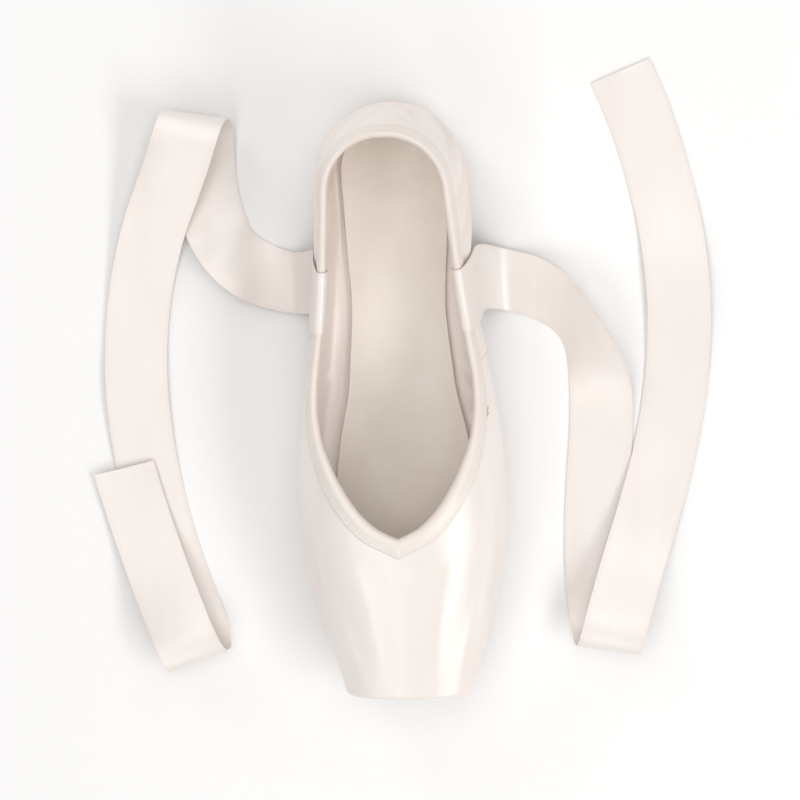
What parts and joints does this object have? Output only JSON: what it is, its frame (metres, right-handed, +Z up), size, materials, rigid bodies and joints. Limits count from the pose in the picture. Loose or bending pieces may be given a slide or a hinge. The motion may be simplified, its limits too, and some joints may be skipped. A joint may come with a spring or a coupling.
{
  "type": "pointe shoe",
  "caption": "Soft satin dance shoe with a stiff boxed toe that ends in a flat platform, a deep V throat with folded edge binding, a narrow leather outsole and flat ankle ribbons.",
  "frame": {"origin": "on the floor, under the middle of the shoe's length, on its plane of symmetry", "axes": "+Z up from the floor, -Y towards the toe platform and +Y towards the heel, +X across the shoe"},
  "size_m": [0.2487, 0.2481, 0.0573],
  "materials": {
    "satin": "glossy woven satin",
    "leather": "matte, sueded",
    "lining": "matte cotton",
    "binding_satin": "satin tape",
    "ribbon_satin": "glossy satin ribbon"
  },
  "bodies": {
    "root": {"upper": "satin", "outsole": "leather", "insole": "lining", "binding": "binding_satin", "ribbon_left": "ribbon_satin", "ribbon_right": "ribbon_satin"}
  },
  "joints": []
}
